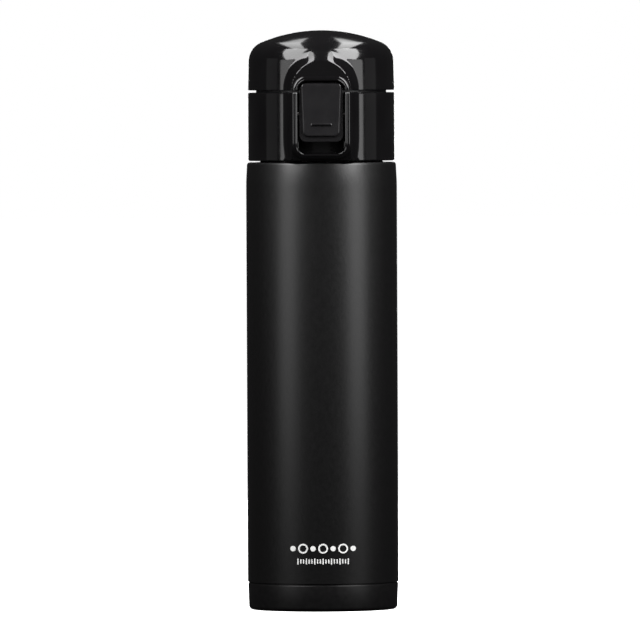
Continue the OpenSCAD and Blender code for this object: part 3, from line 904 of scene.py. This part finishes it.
def add_print(bm, outer, inner=None):
    """Raises a thin printed shape off the body; an inner outline makes it a ring."""
    back, front = -0.05, 0.035
    rows = [[on_body(x, z, back) for x, z in outer], [on_body(x, z, front) for x, z in outer]]
    if inner:
        rows += [[on_body(x, z, front) for x, z in inner], [on_body(x, z, back) for x, z in inner]]
        add_grid(bm, rows + rows[:1], closed=True)
    else:
        made = add_grid(bm, rows, closed=True)
        add_cap(bm, made[0])
        add_cap(bm, made[1])


def circle(x, z, r, count=40):
    return [(x + r * math.cos(2 * math.pi * i / count), z + r * math.sin(2 * math.pi * i / count))
            for i in range(count)]


def ornament(material):
    """A generic printed band: rings and dots over a row of short dashes."""
    bm = bmesh.new()
    upper, lower = 27.2, 21.7
    pitch = 4.3
    for i in range(-3, 4):
        x = i * pitch
        if i % 2:
            add_print(bm, circle(x, upper, 1.15))
        else:
            add_print(bm, circle(x, upper, 2.1), circle(x, upper, 1.45))
    for i in range(-9, 10):
        x = i * 1.2
        tall = 0.95 if i % 3 else 1.3
        dash = key_outline(0.26, 0.26, lower - tall, lower + tall, 0.2, 0.2)
        add_print(bm, [(x + dx, z) for dx, z in dash])
    finish_mesh("printed_band", bm, "bottle", material)


# ---------- Materials ----------

class Surface:
    """A procedural material: colour, roughness and bump all vary over the object's own space."""

    def __init__(self, name, metallic=0.0, specular=0.5):
        self.material = bpy.data.materials.new(name)
        self.material.use_nodes = True
        self.nodes = self.material.node_tree.nodes
        self.links = self.material.node_tree.links
        self.shader = self.nodes["Principled BSDF"]
        self.shader.inputs["Metallic"].default_value = metallic
        self.shader.inputs["Specular IOR Level"].default_value = specular
        self.space = self.nodes.new("ShaderNodeTexCoord").outputs["Object"]
        self.last_bump = None

    def noise(self, size_mm, detail=2.0, stretch=(1, 1, 1)):
        """Noise with features of about size_mm, drawn out along an axis where stretch is under 1."""
        mapping = self.nodes.new("ShaderNodeMapping")
        mapping.inputs["Scale"].default_value = stretch
        self.links.new(self.space, mapping.inputs["Vector"])
        texture = self.nodes.new("ShaderNodeTexNoise")
        texture.inputs["Scale"].default_value = 1 / (size_mm * MM)
        texture.inputs["Detail"].default_value = detail
        self.links.new(mapping.outputs["Vector"], texture.inputs["Vector"])
        return texture.outputs["Fac"]

    def colour(self, dark, light, **noise):
        ramp = self.nodes.new("ShaderNodeValToRGB")
        ramp.color_ramp.elements[0].position, ramp.color_ramp.elements[1].position = 0.3, 0.7
        ramp.color_ramp.elements[0].color = (*dark, 1)
        ramp.color_ramp.elements[1].color = (*light, 1)
        self.links.new(self.noise(**noise), ramp.inputs["Fac"])
        self.links.new(ramp.outputs["Color"], self.shader.inputs["Base Color"])
        return self

    def roughness(self, low, high, **noise):
        span = self.nodes.new("ShaderNodeMapRange")
        span.inputs["From Min"].default_value, span.inputs["From Max"].default_value = 0.3, 0.7
        span.inputs["To Min"].default_value, span.inputs["To Max"].default_value = low, high
        self.links.new(self.noise(**noise), span.inputs["Value"])
        self.links.new(span.outputs["Result"], self.shader.inputs["Roughness"])
        return self

    def bump(self, depth_mm, strength=1.0, **noise):
        bump = self.nodes.new("ShaderNodeBump")
        bump.inputs["Distance"].default_value = depth_mm * MM
        bump.inputs["Strength"].default_value = strength
        self.links.new(self.noise(**noise), bump.inputs["Height"])
        if self.last_bump:
            self.links.new(self.last_bump.outputs["Normal"], bump.inputs["Normal"])
        self.links.new(bump.outputs["Normal"], self.shader.inputs["Normal"])
        self.last_bump = bump
        return self


def gloss_black():
    """High-gloss moulded plastic, with the faint flow and fine haze of a real moulding."""
    surface = Surface("gloss_black")
    surface.colour((0.0032, 0.0030, 0.0033), (0.0042, 0.0040, 0.0043), size_mm=14)
    surface.roughness(0.09, 0.13, size_mm=5, detail=4)
    surface.bump(0.006, size_mm=9, detail=1)
    return surface.bump(0.0006, size_mm=0.5).material


def satin_key_painted_sheen():
    """The button's plastic: the same black with a finer, softer polish, and a base colour raised well
    above the gloss black's as painted sheen, for the light its face reflects.
    """
    surface = Surface("satin_key_painted_sheen")
    # Base colour about three times the gloss black's: painted sheen that stands in for the light the
    # key's face reflects, not a lighter plastic.
    surface.colour((0.0095, 0.0091, 0.0098), (0.0120, 0.0115, 0.0122), size_mm=6)
    surface.roughness(0.13, 0.19, size_mm=3, detail=4)
    surface.bump(0.002, size_mm=0.6, detail=2)
    return surface.material


def body_paint():
    """Satin powder coat: a fine even grain over a soft orange peel."""
    surface = Surface("body_paint")
    surface.colour((0.0022, 0.0021, 0.0022), (0.0036, 0.0034, 0.0036), size_mm=0.8, detail=3)
    surface.roughness(0.33, 0.38, size_mm=1.5, detail=4)
    surface.bump(0.010, size_mm=1.3, detail=1)
    return surface.bump(0.005, size_mm=0.28, detail=3).material


def base_plastic():
    surface = Surface("base_plastic", specular=0.22)
    surface.colour((0.0036, 0.0034, 0.0036), (0.0052, 0.0049, 0.0051), size_mm=2)
    surface.roughness(0.33, 0.40, size_mm=2, detail=4)
    return surface.bump(0.006, size_mm=0.45, detail=3).material


def core_plastic():
    surface = Surface("core_plastic")
    surface.colour((0.016, 0.016, 0.017), (0.023, 0.023, 0.024), size_mm=3)
    surface.roughness(0.34, 0.46, size_mm=2, detail=4)
    return surface.bump(0.010, size_mm=0.5, detail=3).material


def brushed_steel():
    """Spun stainless steel: fine scratches that run round the axis."""
    surface = Surface("steel", metallic=1.0)
    surface.colour((0.52, 0.505, 0.49), (0.66, 0.65, 0.635), size_mm=1.2, stretch=(0.25, 0.25, 6))
    surface.roughness(0.20, 0.34, size_mm=1.0, stretch=(0.2, 0.2, 5), detail=4)
    return surface.bump(0.004, size_mm=0.4, stretch=(0.15, 0.15, 3), detail=3).material


def spring_wire():
    surface = Surface("spring_steel", metallic=1.0)
    surface.colour((0.42, 0.42, 0.42), (0.55, 0.55, 0.54), size_mm=0.6)
    surface.roughness(0.22, 0.36, size_mm=0.5, detail=3)
    return surface.bump(0.003, size_mm=0.2, detail=2).material


def silicone():
    surface = Surface("silicone", specular=0.4)
    surface.colour((0.30, 0.30, 0.29), (0.36, 0.36, 0.35), size_mm=2.5, detail=3)
    surface.roughness(0.48, 0.62, size_mm=1.2, detail=4)
    surface.shader.inputs["Subsurface Weight"].default_value = 0.15
    surface.shader.inputs["Subsurface Radius"].default_value = (0.0012, 0.0012, 0.0011)
    return surface.bump(0.008, size_mm=0.4, detail=3).material


def copper_foil():
    surface = Surface("copper_foil", metallic=1.0)
    surface.colour((0.68, 0.34, 0.21), (0.80, 0.42, 0.27), size_mm=6, detail=3)
    surface.roughness(0.16, 0.34, size_mm=4, detail=4)
    surface.bump(0.12, size_mm=7, detail=4)
    return surface.bump(0.02, size_mm=1.2, detail=3).material


def getter_alloy():
    surface = Surface("getter_alloy", metallic=0.7)
    surface.colour((0.19, 0.19, 0.20), (0.30, 0.30, 0.31), size_mm=0.5, detail=4)
    surface.roughness(0.6, 0.85, size_mm=0.5, detail=4)
    return surface.bump(0.05, size_mm=0.3, detail=4).material


def solder():
    surface = Surface("solder", metallic=1.0)
    surface.colour((0.52, 0.52, 0.50), (0.66, 0.66, 0.64), size_mm=1, detail=3)
    surface.roughness(0.4, 0.6, size_mm=0.8, detail=4)
    return surface.bump(0.03, size_mm=0.8, detail=2).material


def print_ink():
    surface = Surface("print_ink")
    surface.colour((0.70, 0.70, 0.69), (0.82, 0.82, 0.81), size_mm=0.7, detail=4)
    surface.roughness(0.42, 0.55, size_mm=0.6, detail=3)
    return surface.bump(0.006, size_mm=0.2, detail=3).material


def floor_paper():
    surface = Surface("floor_paper", specular=0.2)
    surface.colour((0.88, 0.88, 0.88), (0.91, 0.91, 0.91), size_mm=300, detail=2)
    surface.roughness(0.85, 0.95, size_mm=60, detail=3)
    surface.shader.inputs["Emission Color"].default_value = (1, 1, 1, 1)
    surface.shader.inputs["Emission Strength"].default_value = 1.0
    return surface.material


# ---------- Setting ----------

def make_camera():
    """A long lens far off, level with the lid and tipped down a little to centre the flask."""
    data = bpy.data.cameras.new("camera")
    data.sensor_width, data.lens = 36.0, 639.3
    data.clip_start, data.clip_end = 0.05, 100
    camera = bpy.data.objects.new("camera", data)
    bpy.context.scene.collection.objects.link(camera)
    down, roll = math.radians(1.16), math.radians(-0.25)
    turned = Matrix.Rotation(math.pi / 2 - down, 4, "X") @ Matrix.Rotation(roll, 4, "Z")
    camera.matrix_world = Matrix.Translation((-0.0009, -4.9, 0.2238)) @ turned
    bpy.context.scene.camera = camera


def towards(azimuth, elevation):
    """A direction from the flask; azimuth 0 is in front of it and 90 is on the viewer's right."""
    a, e = math.radians(azimuth), math.radians(elevation)
    return Vector((math.sin(a) * math.cos(e), -math.cos(a) * math.cos(e), math.sin(e)))


def softbox(name, place, facing, along, width, length, radiance, spread=math.pi):
    """A rectangular light that shines against the direction facing, with its length near along."""
    data = bpy.data.lights.new(name, "AREA")
    data.shape, data.size, data.size_y = "RECTANGLE", width, length
    data.energy, data.spread = radiance * math.pi * width * length, spread
    light = bpy.data.objects.new(name, data)
    bpy.context.scene.collection.objects.link(light)
    y_axis = (along - facing * along.dot(facing)).normalized()
    turned = Matrix((y_axis.cross(facing), y_axis, facing)).transposed().to_4x4()
    light.matrix_world = Matrix.Translation(place) @ turned
    light.visible_camera = False


def make_lights():
    """On each side a tall softbox, a ceiling strip, a low reflector and a dim side panel.

    A weak box fills in from the front, and one behind edges the dome's top.
    """
    cap, upright = Vector((0, 0, 0.23)), Vector((0, 0, 1))
    for side, name, strength in ((1, "right", 12.0), (-1, "left", 9.2)):
        front, lean = towards(side * 52, 37), Vector((side * 0.16, 0.19, 1))
        softbox("front_" + name, cap + front * 0.75, front, lean, 0.40, 0.82, strength)
        over, inward = Vector((side * 0.205, 0.35, 0.84)), Vector((side * -0.14, 1, 0))
        spread = math.radians(118)
        softbox("over_" + name, over, upright, inward, 0.16, 0.98, strength * 0.36, spread)
        low, far = towards(side * 54 + 1, 0), towards(side * 84, 0)
        softbox("low_" + name, low * 0.8 + upright * 0.16, low, upright, 0.38, 0.30, strength * 0.23)
        softbox("side_" + name, far * 0.9 + upright * 0.27, far, upright, 0.36, 0.30, strength * 0.018)
    ahead, behind = towards(0, 0), towards(180, 0)
    softbox("fill", ahead * 1.2 + upright * 0.13, ahead, upright, 0.60, 0.60, 0.05)
    softbox("rear", behind * 1.3 + upright * 0.13, behind, upright, 0.30, 0.34, 6.0)


def make_world():
    """White to the camera, and a dim even surround for light and reflections."""
    world = bpy.data.worlds.new("surround")
    bpy.context.scene.world = world
    world.use_nodes = True
    nodes, links = world.node_tree.nodes, world.node_tree.links
    seen, dim = nodes["Background"], nodes.new("ShaderNodeBackground")
    seen.inputs["Color"].default_value = (1, 1, 1, 1)
    dim.inputs["Color"].default_value = (0.02, 0.02, 0.02, 1)
    mix = nodes.new("ShaderNodeMixShader")
    path = nodes.new("ShaderNodeLightPath")
    links.new(path.outputs["Is Camera Ray"], mix.inputs["Fac"])
    links.new(dim.outputs["Background"], mix.inputs[1])
    links.new(seen.outputs["Background"], mix.inputs[2])
    links.new(mix.outputs["Shader"], nodes["World Output"].inputs["Surface"])
    bpy.context.scene.view_settings.view_transform = "Standard"


def make_floor():
    """A pale sheet, bright by itself, that the flask's reflections and bounce light don't see."""
    bm = bmesh.new()
    corners = [(-1, -1), (1, -1), (1, 1), (-1, 1)]
    bm.faces.new([bm.verts.new((FLOOR_HALF * x, FLOOR_HALF * y, 0)) for x, y in corners])
    mesh = bpy.data.meshes.new("floor")
    bm.to_mesh(mesh)
    bm.free()
    floor = bpy.data.objects.new("floor", mesh)
    bpy.context.scene.collection.objects.link(floor)
    mesh.materials.append(floor_paper())
    floor.visible_glossy = False
    floor.visible_diffuse = False


def dress_hidden_parts(steel):
    """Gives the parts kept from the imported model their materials."""
    for nodes, material in (
            (("inner_vessel", "jacket_bottom"), steel), (("foil_wrap",), copper_foil()),
            (("getter",), getter_alloy()), (("vacuum_plug",), solder())):
        for node in nodes:
            slots = frame["nodes"][node].data.materials
            if slots:
                slots[0] = material
            else:
                slots.append(material)


def build_scene():
    make_camera()
    make_lights()
    make_world()
    make_floor()
    gloss, plastic, steel, rubber = gloss_black(), core_plastic(), brushed_steel(), silicone()
    lid_shell(gloss)
    collar_shell(gloss)
    push_button(satin_key_painted_sheen())
    bottle_shell(body_paint(), steel)
    base_cup(base_plastic())
    threaded_core(plastic)
    mouthpiece(plastic)
    neck_gasket(rubber)
    lid_liner(plastic)
    stopper_core(plastic)
    stopper_seal(rubber)
    wire = spring_wire()
    pins(steel)
    lid_spring(wire)
    button_spring(wire)
    ornament(print_ink())
    dress_hidden_parts(steel)


build_scene()
